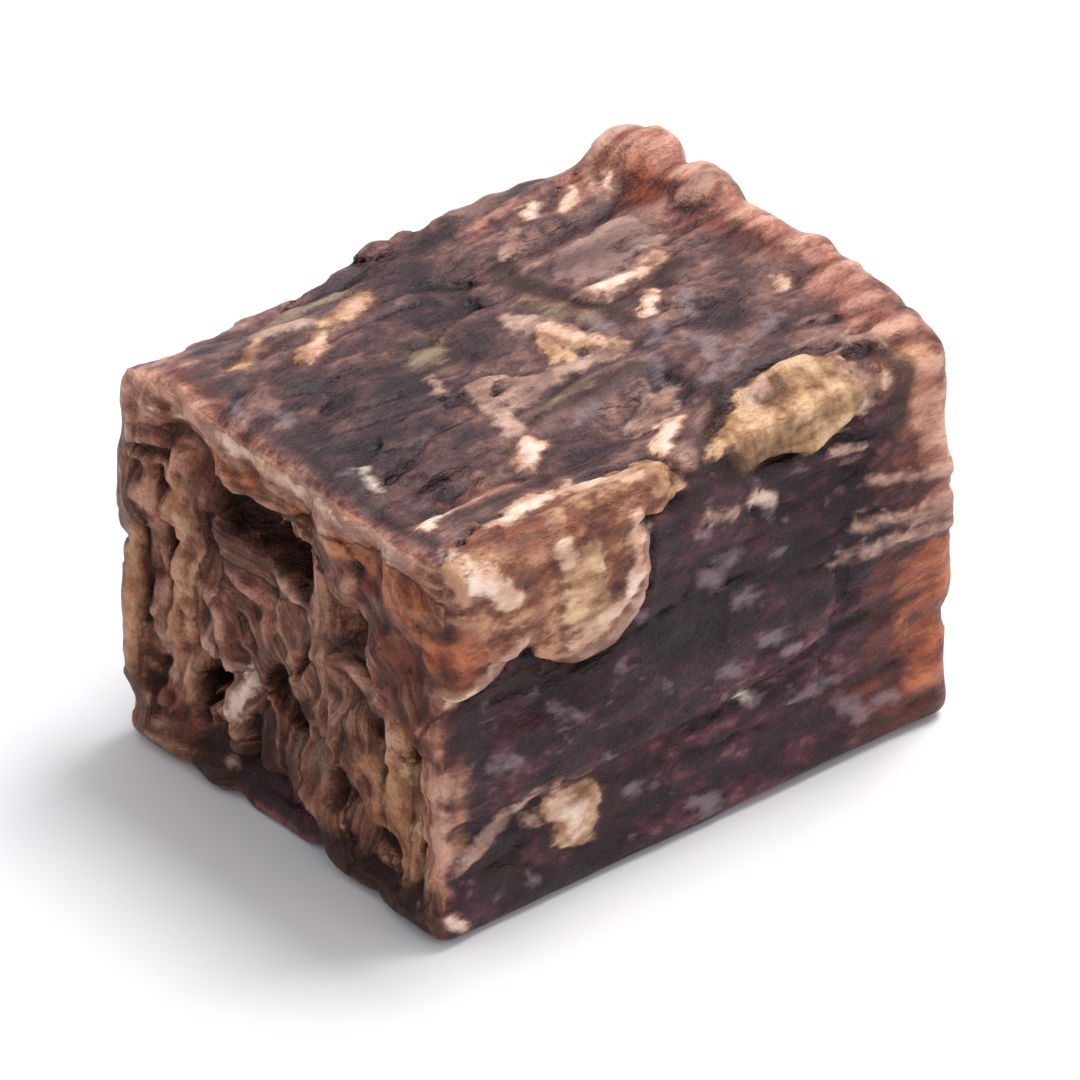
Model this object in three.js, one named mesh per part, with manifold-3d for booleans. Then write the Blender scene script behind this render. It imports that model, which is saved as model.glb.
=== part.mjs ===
// A beef cube: a dried piece chopped from a bar of pressed beef strips.
// Units are millimetres, +Z is up, and the origin is under the middle of the cube, on its resting face.
// The grain runs along X. The two faces across X are the cuts, and the other four were pressed smooth.

import * as THREE from "three";
import { ImprovedNoise } from "three/addons/math/ImprovedNoise.js";
import { mergeVertices } from "three/addons/utils/BufferGeometryUtils.js";
import Module from "manifold-3d";

// Driving dimensions
const LENGTH = 17.3; // along the grain
const WIDTH = 13.3; // across the grain
const HEIGHT = 11.6;
const EDGE_RADIUS = 0.6;

// The strips that the bar was pressed from, in columns across it and rows up it
const STRIP_COLUMNS = 5;
const STRIP_ROWS = 4;
const STRIP_JITTER = 0.85; // share of a strip's own width that its centre may stray
const STRIP_BEND = 1.2; // how far a strip wanders sideways on its way along the grain
const STRIP_BEND_LENGTH = 11; // over which it wanders
const STRIP_BEND_WIDTH = 3.4;
const STRIP_SEED = 23;
const STRIP_BLUR = 0.9; // how gently the level of one strip runs into the next

// Relief of the four pressed faces, measured inwards from the smooth rounded block
const SIDE_CREASE_WIDTH = 0.95; // where two strips meet
const SIDE_CREASE_DEPTH = 0.36; // where a crease is open; elsewhere it is pressed shut
const SIDE_CREASE_RUN = 5.5; // a crease opens and shuts over this length of grain
const SIDE_CREASE_SPREAD = 2.4;
const SIDE_CREASE_OPENING = [-0.12, 0.3]; // the noise values at which a crease is shut and open
const SWELL_DEPTH = 0.34; // slow waves of the faces
const SWELL_LENGTH = 9;
const SWELL_WIDTH = 4.2;
const RESTING_CREASE_DEPTH = 0.25; // under the cube, which is flat elsewhere
const RESTING_CREASE_START = 0.35; // share of a crease left out there, so that it is narrow

// Relief of the two cuts
const CUT_DISH = 0.35; // how far the middle of a cut lies behind its edges
const CUT_STEP = 0.85; // strips end at unlike levels
const CUT_CREASE_WIDTH = 1.2;
const CUT_CREASE_DEPTH = 0.4;
const CRUMB_DEPTH = 0.4;
const CRUMB_SIZE = 1.5;
const CUT_EDGE_REACH = 1.7; // the relief dies away within this distance of the edges
const CUT_EDGE_SHARE = 0.3; // to this share of its depth

// Over a rounded edge, the relief runs from one face's to the next as the surface turns. These are
// the parts of its direction along X and down at which the cuts and the resting face start and rule.
const CUT_TURN = [0.25, 0.95];
const RESTING_TURN = [0.6, 1];

// Each use of the noise has its own field, picked by a shift
const FIELD = { bendAcross: 4.2, bendUp: 9.7, swell: 2.5, opening: 7.7, nearCrumbs: 1.3, farCrumbs: 6.1 };

// How finely the block is divided along each side
const STEPS_ALONG = 23;
const STEPS_ACROSS = 35;
const STEPS_UP = 31;
const EDGE_CROWDING = 0.4; // how much of the division is drawn towards the edges
const HOLLOW_DETAIL = 2;

// Places on the cube are given as it is seen: s runs along the grain from the near cut, t runs
// across from the front side, and d runs down from the top. s and t start where the straight lines of
// the top edges meet, a little inside the block.
const S_START = 0.3;
const T_START = 0.2;

// A lip of fatty meat folded over the top front edge, as discs and a band that run together
const LIP_RISE = 0.38;
const LIP_BLUR = 0.3;
const LIP_DISCS = [
  { s: 0.6, d: 1.8, radius: 2.2 },
  { s: 4.3, d: 2.4, radius: 2.1 },
];
const LIP_BAND = { from: 0, to: 7.4, deep: 1.0 };

// A flat fragment let into the top front edge, and the shallow bed that it leaves round itself
const BED = { s: 11.6, t: 0.1, d: 0.2, halfLength: 2.6, halfWidth: 1.5, deep: 0.4, blur: 0.15 };

// A knob on the far top corner
const KNOB = { s: 16.3, t: 11.9, d: 0, radius: 1.9, rise: 0.7, round: 0.2 };

// Waves of the two far top edges, as places along each and the rise there
const BACK_EDGE = [
  [0, -0.2],
  [3.2, -0.7],
  [5.6, -0.6],
  [8.6, -0.05],
  [10.4, -0.05],
  [12.9, -0.2],
  [14.3, -0.45],
  [16.4, -0.6],
];
const FAR_EDGE = [
  [0, 0],
  [1.4, 0.25],
  [3.5, 0.55],
  [5.1, 0.6],
  [6.0, 0.2],
  [7.8, 0.1],
  [8.9, 0.45],
  [9.8, 0.45],
  [10.5, 0],
  [11.2, 0.2],
  [12.5, 0],
];
const EDGE_WAVE_REACH = 2.4; // from the edge, over the faces on both sides of it

// The flap of the near cut is bounded by a furrow, given as points (t, d)
const FURROW = [
  [4.6, 3.4],
  [3.2, 4.7],
  [1.7, 6.2],
  [1.9, 8.4],
];
const FURROW_WIDTH = 1.0;
const FURROW_DEPTH = 0.75;

// Hollows where the strips don't fill the section. near is the cut that they open in, halfT and
// halfD are their half sizes across and down, deep their reach along the grain, turn in degrees.
const HOLLOWS = [
  { near: true, t: 7.6, d: 3.2, halfT: 2.3, halfD: 0.95, deep: 2.5, turn: 10 },
  { near: true, t: 6.9, d: 7.9, halfT: 0.75, halfD: 0.95, deep: 2.2, turn: -15 },
  { near: true, t: 9.8, d: 8.6, halfT: 0.55, halfD: 0.85, deep: 1.7, turn: 12 },
  { near: true, t: 4.9, d: 9.2, halfT: 0.45, halfD: 0.75, deep: 1.4, turn: 8 },
  { near: false, t: 4.2, d: 4.6, halfT: 1.3, halfD: 0.7, deep: 1.9, turn: 35 },
  { near: false, t: 8.7, d: 3.4, halfT: 0.6, halfD: 1.1, deep: 1.6, turn: -20 },
  { near: false, t: 8.0, d: 7.9, halfT: 1.5, halfD: 0.65, deep: 2.1, turn: -10 },
  { near: false, t: 3.2, d: 8.6, halfT: 0.55, halfD: 0.7, deep: 1.3, turn: 0 },
];
const HOLLOW_RAGGED = 0.24; // share of its size by which a hollow's wall is uneven
const HOLLOW_KNOBS = 1.7; // how many times the unevenness changes across a hollow

// The bottom edge of the near cut has broken away
const NOTCH = { t: 7.0, d: 11.2, halfWidth: 2.3, high: 1.5, deep: 0.8, round: 0.4 };

const noise = new ImprovedNoise();
const smooth = THREE.MathUtils.smoothstep;

// Smooth noise between -1 and 1, stretched along the grain by its own length
function grain(p, length, width, field) {
  return noise.noise(p.x / length + field, p.y / width - field, p.z / width + field);
}

// Centres of the strips in the section, on a loose grid, and the level at which each ends
function makeStrips() {
  THREE.MathUtils.seededRandom(STRIP_SEED);
  const draw = () => THREE.MathUtils.seededRandom() - 0.5;
  const strips = [];
  for (let column = 0; column < STRIP_COLUMNS; column++) {
    for (let row = 0; row < STRIP_ROWS; row++) {
      strips.push({
        y: ((column + 0.5 + STRIP_JITTER * draw()) / STRIP_COLUMNS - 0.5) * WIDTH,
        z: ((row + 0.5 + STRIP_JITTER * draw()) / STRIP_ROWS - 0.5) * HEIGHT,
        level: CUT_STEP * draw(),
      });
    }
  }
  return strips;
}

const strips = makeStrips();

// The level of the strips about a point, and how far the point is from the nearest crease
function stripAt(p) {
  const y = p.y + STRIP_BEND * grain(p, STRIP_BEND_LENGTH, STRIP_BEND_WIDTH, FIELD.bendAcross);
  const z = p.z + STRIP_BEND * grain(p, STRIP_BEND_LENGTH, STRIP_BEND_WIDTH, FIELD.bendUp);
  const away = strips.map((strip) => Math.hypot(y - strip.y, z - strip.z));
  const [first, second] = [...away].sort((a, b) => a - b);
  const shares = away.map((distance) => Math.exp((first - distance) / STRIP_BLUR));
  const whole = shares.reduce((sum, share) => sum + share, 0);
  const level = shares.reduce((sum, share, i) => sum + share * strips[i].level, 0) / whole;
  return { level, fromCrease: second - first };
}

// 1 in the middle of a crease, and 0 beyond its width
function crease(fromCrease, width) {
  return 1 - smooth(fromCrease, 0, width);
}

function segmentDistance(t, d, [t0, d0], [t1, d1]) {
  const along = ((t - t0) * (t1 - t0) + (d - d0) * (d1 - d0)) / ((t1 - t0) ** 2 + (d1 - d0) ** 2);
  const share = THREE.MathUtils.clamp(along, 0, 1);
  return Math.hypot(t - t0 - share * (t1 - t0), d - d0 - share * (d1 - d0));
}

function furrowDepth(t, d) {
  const distances = FURROW.slice(1).map((end, i) => segmentDistance(t, d, FURROW[i], end));
  return FURROW_DEPTH * (1 - smooth(Math.min(...distances), 0, FURROW_WIDTH));
}

// How far the folded lip stands proud of the front side
function lipRise(s, d) {
  const toDiscs = LIP_DISCS.map((disc) => Math.hypot(s - disc.s, d - disc.d) - disc.radius);
  const toBand = Math.max(LIP_BAND.from - s, s - LIP_BAND.to, d - LIP_BAND.deep);
  return LIP_RISE * (1 - smooth(Math.min(...toDiscs, toBand), -LIP_BLUR, LIP_BLUR));
}

function bedDepth(s, t, d) {
  const across = Math.hypot(t - BED.t, d - BED.d);
  const away = Math.hypot((s - BED.s) / BED.halfLength, across / BED.halfWidth);
  return BED.deep * (1 - smooth(away, 1 - BED.blur, 1 + BED.blur));
}

function knobRise(s, t, d) {
  const away = Math.hypot(s - KNOB.s, t - KNOB.t, d - KNOB.d) / KNOB.radius;
  return KNOB.rise * (1 - smooth(away, KNOB.round, 1));
}

function notchDepth(t, d) {
  const away = Math.hypot((t - NOTCH.t) / NOTCH.halfWidth, (d - NOTCH.d) / NOTCH.high);
  return NOTCH.deep * (1 - smooth(away, NOTCH.round, 1));
}

// Rise at a place along an edge, run smoothly from point to point, and fading away from the edge
function edgeWave(points, place, fromEdge) {
  const next = THREE.MathUtils.clamp(points.findIndex(([at]) => at > place), 1, points.length - 1);
  const [from, low] = points[next - 1];
  const [to, high] = points[next];
  const rise = THREE.MathUtils.lerp(low, high, smooth(place, from, to));
  return rise * (1 - smooth(fromEdge, 0, EDGE_WAVE_REACH));
}

// Rise of the two far top edges, felt on all the faces that meet there
function farEdgesRise({ s, t, d }) {
  const back = edgeWave(BACK_EDGE, s, Math.hypot(WIDTH - T_START - t, d));
  const far = edgeWave(FAR_EDGE, t, Math.hypot(LENGTH - S_START - s, d));
  return back + far;
}

// Inward depth of the relief on the pressed faces
function pressedRelief(p, { s, t, d }, normal, strip) {
  const swell = SWELL_DEPTH * grain(p, SWELL_LENGTH, SWELL_WIDTH, FIELD.swell);
  const open = smooth(grain(p, SIDE_CREASE_RUN, SIDE_CREASE_SPREAD, FIELD.opening), ...SIDE_CREASE_OPENING);
  const creases = SIDE_CREASE_DEPTH * open * crease(strip.fromCrease, SIDE_CREASE_WIDTH);
  const front = Math.max(0, -normal.y) * lipRise(s, d);
  return swell + creases + bedDepth(s, t, d) - front;
}

// Inward depth of the relief under the cube: narrow creases only, so that it rests flat
function restingRelief(strip) {
  return RESTING_CREASE_DEPTH * smooth(crease(strip.fromCrease, SIDE_CREASE_WIDTH), RESTING_CREASE_START, 1);
}

// Inward depth of the relief on the two cuts
function cutRelief(p, { t, d }, near, strip) {
  const crumbs = CRUMB_DEPTH * grain(p, CRUMB_SIZE, CRUMB_SIZE, near ? FIELD.nearCrumbs : FIELD.farCrumbs);
  const creases = CUT_CREASE_DEPTH * crease(strip.fromCrease, CUT_CREASE_WIDTH);
  const ownEnd = near ? strip.level : -strip.level;
  const fromEdge = Math.min(WIDTH / 2 - Math.abs(p.y), HEIGHT / 2 - Math.abs(p.z));
  const share = THREE.MathUtils.lerp(CUT_EDGE_SHARE, 1, smooth(fromEdge, 0, CUT_EDGE_REACH));
  const broken = near ? furrowDepth(t, d) + notchDepth(t, d) : 0;
  return share * (CUT_DISH + crumbs + creases + ownEnd) + broken;
}

// Draws a coordinate between -half and half towards its ends
function crowd(value, half) {
  const eased = half * Math.sin((value / half) * (Math.PI / 2));
  return THREE.MathUtils.lerp(value, eased, EDGE_CROWDING);
}

// A finely divided box with its edges rounded and every vertex moved in or out by the relief
function makeBlock() {
  const box = new THREE.BoxGeometry(LENGTH, WIDTH, HEIGHT, STEPS_ALONG, STEPS_ACROSS, STEPS_UP);
  box.deleteAttribute("normal");
  box.deleteAttribute("uv");
  const block = mergeVertices(box);
  const half = new THREE.Vector3(LENGTH, WIDTH, HEIGHT).multiplyScalar(0.5);
  const inner = half.clone().subScalar(EDGE_RADIUS);
  const outer = new THREE.Vector3();
  const place = block.getAttribute("position");
  for (let i = 0; i < place.count; i++) {
    outer.fromBufferAttribute(place, i);
    outer.set(crowd(outer.x, half.x), crowd(outer.y, half.y), crowd(outer.z, half.z));
    const core = outer.clone().clamp(inner.clone().negate(), inner);
    const normal = outer.clone().sub(core).normalize();
    const p = core.addScaledVector(normal, EDGE_RADIUS);
    const seen = { s: p.x + half.x - S_START, t: p.y + half.y - T_START, d: half.z - p.z };
    const strip = stripAt(p);
    const cutShare = smooth(Math.abs(normal.x), ...CUT_TURN);
    const underShare = smooth(-normal.z, ...RESTING_TURN);
    const pressed = pressedRelief(p, seen, normal, strip);
    const side = THREE.MathUtils.lerp(pressed, restingRelief(strip), underShare);
    const cut = cutRelief(p, seen, normal.x < 0, strip);
    const rise = knobRise(seen.s, seen.t, seen.d) + farEdgesRise(seen);
    p.addScaledVector(normal, rise - THREE.MathUtils.lerp(side, cut, cutShare));
    place.setXYZ(i, p.x, p.y, p.z);
  }
  return block;
}

// A ragged egg shape, pushed into a cut from outside
function makeHollow({ near, t, d, halfT, halfD, deep, turn }) {
  const ball = new THREE.IcosahedronGeometry(1, HOLLOW_DETAIL);
  ball.deleteAttribute("normal");
  ball.deleteAttribute("uv");
  const hollow = mergeVertices(ball);
  const place = hollow.getAttribute("position");
  const p = new THREE.Vector3();
  for (let i = 0; i < place.count; i++) {
    p.fromBufferAttribute(place, i);
    const uneven = noise.noise(HOLLOW_KNOBS * p.x + t, HOLLOW_KNOBS * p.y + d, HOLLOW_KNOBS * p.z);
    p.multiplyScalar(1 + HOLLOW_RAGGED * uneven);
    place.setXYZ(i, p.x, p.y, p.z);
  }
  hollow.scale(deep, halfT, halfD);
  hollow.rotateX(THREE.MathUtils.degToRad(turn));
  hollow.translate((near ? -1 : 1) * (LENGTH / 2), t + T_START - WIDTH / 2, HEIGHT / 2 - d);
  return hollow;
}

const wasm = await Module();
wasm.setup();

function solidOf(geometry) {
  return new wasm.Manifold(
    new wasm.Mesh({
      numProp: 3,
      vertProperties: new Float32Array(geometry.getAttribute("position").array),
      triVerts: new Uint32Array(geometry.index.array),
    }),
  );
}

function geometryOf(solid) {
  const mesh = solid.getMesh();
  return new THREE.BufferGeometry()
    .setAttribute("position", new THREE.BufferAttribute(mesh.vertProperties, 3))
    .setIndex(new THREE.BufferAttribute(mesh.triVerts, 1));
}

function makeCube() {
  const hollows = HOLLOWS.map((hollow) => solidOf(makeHollow(hollow)));
  const solid = hollows.reduce((whole, hollow) => whole.subtract(hollow), solidOf(makeBlock()));
  const geometry = geometryOf(solid);
  geometry.computeBoundingBox();
  const { min, max } = geometry.boundingBox;
  geometry.translate(-(min.x + max.x) / 2, -(min.y + max.y) / 2, -min.z);
  geometry.computeVertexNormals();
  return geometry;
}

const meat = new THREE.MeshStandardMaterial({ color: 0x4a3230, roughness: 0.5, metalness: 0 });
const cube = new THREE.Mesh(makeCube(), meat);
cube.name = "beef_cube";

const part = new THREE.Group();
part.add(cube);

export default part;
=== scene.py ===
import math
from itertools import product

import bpy
import numpy as np
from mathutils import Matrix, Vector
from mathutils.bvhtree import BVHTree


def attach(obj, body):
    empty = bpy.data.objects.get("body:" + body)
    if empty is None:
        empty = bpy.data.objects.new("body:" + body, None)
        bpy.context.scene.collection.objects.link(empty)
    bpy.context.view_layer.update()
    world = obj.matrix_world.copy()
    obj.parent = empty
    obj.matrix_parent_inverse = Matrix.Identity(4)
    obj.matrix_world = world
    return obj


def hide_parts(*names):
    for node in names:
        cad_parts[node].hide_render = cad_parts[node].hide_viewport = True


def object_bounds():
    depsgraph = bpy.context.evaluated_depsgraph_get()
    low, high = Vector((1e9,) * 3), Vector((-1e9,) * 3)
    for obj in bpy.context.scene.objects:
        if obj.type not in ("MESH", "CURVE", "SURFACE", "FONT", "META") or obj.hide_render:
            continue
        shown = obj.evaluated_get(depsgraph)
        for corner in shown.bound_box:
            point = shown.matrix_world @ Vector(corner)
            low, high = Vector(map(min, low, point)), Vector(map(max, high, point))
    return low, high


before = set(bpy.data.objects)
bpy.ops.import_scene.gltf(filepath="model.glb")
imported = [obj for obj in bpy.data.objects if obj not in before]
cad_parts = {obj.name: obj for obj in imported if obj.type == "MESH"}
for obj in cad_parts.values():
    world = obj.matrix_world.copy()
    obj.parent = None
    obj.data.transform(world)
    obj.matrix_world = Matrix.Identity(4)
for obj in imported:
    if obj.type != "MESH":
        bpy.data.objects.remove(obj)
cad_low, cad_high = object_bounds()

# A dried beef cube. The solid from the frame is measured on a grid, fine relief is carved into the
# grid, and a new surface is drawn through it.
MM = 0.001

# Places on the cube: s runs along the grain from the near cut, t across from the front side, and d
# down from the top. The shifts take the frame's x and y to s and t, and HEIGHT takes z to d.
LOWEST_S = -0.549  # where the solid begins
LOWEST_T = -0.64
S_SHIFT = LOWEST_S - cad_low[0] / MM
T_SHIFT = LOWEST_T - cad_low[1] / MM
HEIGHT = 11.6

# The faces of the block. Each is given by the two axes that a place on it has, the axis through it,
# and where it lies on that, where the axes 0, 1 and 2 are s, t and d.
NEAR = (1, 2, 0, -0.3)
FAR = (1, 2, 0, 17.0)
FRONT = (0, 2, 1, -0.2)
BACK = (0, 2, 1, 13.1)
TOP = (0, 1, 2, 0.0)
UNDER = (0, 1, 2, HEIGHT)
LOWS = (NEAR[3], FRONT[3], TOP[3])
HIGHS = (FAR[3], BACK[3], UNDER[3])

# Spacing of the final grid along x, y and z, wider along the grain
STEP = np.array([0.176, 0.119, 0.119])
MARGIN = 0.8  # room round the solid in the grid
BAND = 1.3  # relief is worked out within this distance of the solid's surface
JUST_PAST = 1e-4  # how far past a crossing the search for the next one begins
SPECK = 0.02  # distance given to crumbs and bubbles that are taken out
STEPS_TO_A_COUNT = 8  # steps of spreading between two counts of what was reached

# Random values for the noise and for the middles of cells
SEED = 5
rng = np.random.default_rng(SEED)
LATTICE_SIZE = 64
LATTICE = rng.uniform(-1, 1, (LATTICE_SIZE,) * 3).astype(np.float32)
JITTER = rng.uniform(0, 1, (3, *(LATTICE_SIZE,) * 3)).astype(np.float32)


def smooth(value, low, high):
    """0 below low, 1 above high, and a smooth step between them, or the reverse if low is larger."""
    share = np.clip((value - low) / (high - low), 0, 1)
    return share * share * (3 - 2 * share)


def bell(value, width):
    """1 where the value is 0, falling smoothly to nothing about two widths away."""
    return np.exp(-((value / width) ** 2))


def noise(x, y, z, field):
    """Smooth noise, mostly between -0.7 and 0.7. Each number for the field gives another one."""
    cells = []
    shares = []
    for value, own in ((x, 17.3), (y, 5.9), (z, 11.7)):
        value = value + field * own
        low = np.floor(value)
        share = (value - low).astype(np.float32)
        cells.append(low.astype(np.int64) % LATTICE_SIZE)
        shares.append(share * share * (3 - 2 * share))
    total = 0
    for corners in product((0, 1), repeat=3):
        weight = 1
        for share, corner in zip(shares, corners):
            weight = weight * (share if corner else 1 - share)
        at = tuple((cell + corner) % LATTICE_SIZE for cell, corner in zip(cells, corners))
        total = total + weight * LATTICE[at]
    return total


def grain(p, length, width, field):
    """Noise stretched along the grain."""
    return noise(p[:, 0] / length, p[:, 1] / width, p[:, 2] / width, field)


def cells(x, y, z):
    """Cells round scattered centres: how much nearer the nearest centre is than the next, and a
    number from -1 to 1 for the nearest."""
    lows = [np.floor(value) for value in (x, y, z)]
    first = np.full(x.shape, np.inf)
    second = first.copy()
    own = np.zeros(x.shape, np.float32)
    for offsets in product((-1, 0, 1), repeat=3):
        at = tuple((low + offset).astype(int) % LATTICE_SIZE for low, offset in zip(lows, offsets))
        parts = zip(lows, offsets, JITTER, (x, y, z))
        away = np.sqrt(sum((low + offset + shift[at] - value) ** 2 for low, offset, shift, value in parts))
        nearer = away < first
        second = np.where(nearer, first, np.minimum(second, away))
        own = np.where(nearer, LATTICE[at], own)
        first = np.where(nearer, away, first)
    return second - first, own


# Measuring the solid


def tree_of(node):
    """The node's mesh as a tree to cast rays at, and its points."""
    mesh = node.data
    places = np.empty(len(mesh.vertices) * 3)
    mesh.vertices.foreach_get("co", places)
    places = places.reshape(-1, 3) / MM
    faces = [tuple(face.vertices) for face in mesh.polygons]
    return BVHTree.FromPolygons([Vector(place) for place in places], faces), places


def crossings(tree, y, z, x_low):
    """Where a line along X goes in or out of the solid."""
    found = []
    x = x_low
    while True:
        hit = tree.ray_cast(Vector((x, y, z)), Vector((1, 0, 0)))[0]
        if hit is None:
            return found
        found.append(hit.x)
        x = hit.x + JUST_PAST


def measure(node):
    """Distance from the solid's surface, below 0 inside it, on a grid of twice the final spacing,
    and the grid's lowest corner."""
    tree, places = tree_of(node)
    low = places.min(0) - MARGIN
    counts = np.ceil((places.max(0) + MARGIN - low) / (2 * STEP)).astype(int) + 1
    xs, ys, zs = (low[axis] + 2 * STEP[axis] * np.arange(counts[axis]) for axis in range(3))
    distance = np.empty(counts)
    for j, y in enumerate(ys):
        for k, z in enumerate(zs):
            inside = np.searchsorted(crossings(tree, y, z, xs[0]), xs) % 2 == 1
            away = [tree.find_nearest(Vector((x, y, z)))[3] for x in xs]
            distance[:, j, k] = np.where(inside, -1, 1) * away
    return distance, low


def refine(grid):
    """The grid at half its spacing, with cubic steps between the old points."""
    for axis in range(3):
        old = np.moveaxis(grid, axis, 0)
        padded = np.concatenate([old[:1], old, old[-1:]])
        new = np.empty((2 * len(old) - 1, *old.shape[1:]))
        new[::2] = old
        new[1::2] = (9 * (padded[1:-2] + padded[2:-1]) - padded[:-3] - padded[3:]) / 16
        grid = np.moveaxis(new, 0, axis)
    return grid


def sample(grid, low, p):
    """Values at points, each mixed from the eight points of the grid round it."""
    at = (p - low) / STEP
    cell = np.clip(np.floor(at).astype(int), 0, np.array(grid.shape) - 2)
    share = at - cell
    total = 0
    for corners in product((0, 1), repeat=3):
        weight = 1
        for axis, corner in enumerate(corners):
            weight = weight * (share[:, axis] if corner else 1 - share[:, axis])
        total = total + weight * grid[tuple((cell + corners).T)]
    return total


# Strokes: the fragments and the stains of the photographed cube, with painted shade in its hollows and gaps
# and painted glints, drawn on its faces, and two made up for the far cut. Each has half its width, near 0
# for a faint one, and then the points of its middle line, which are (t, d) on the cuts, (s, t) on the top
# and (s, d) on the front.

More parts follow.
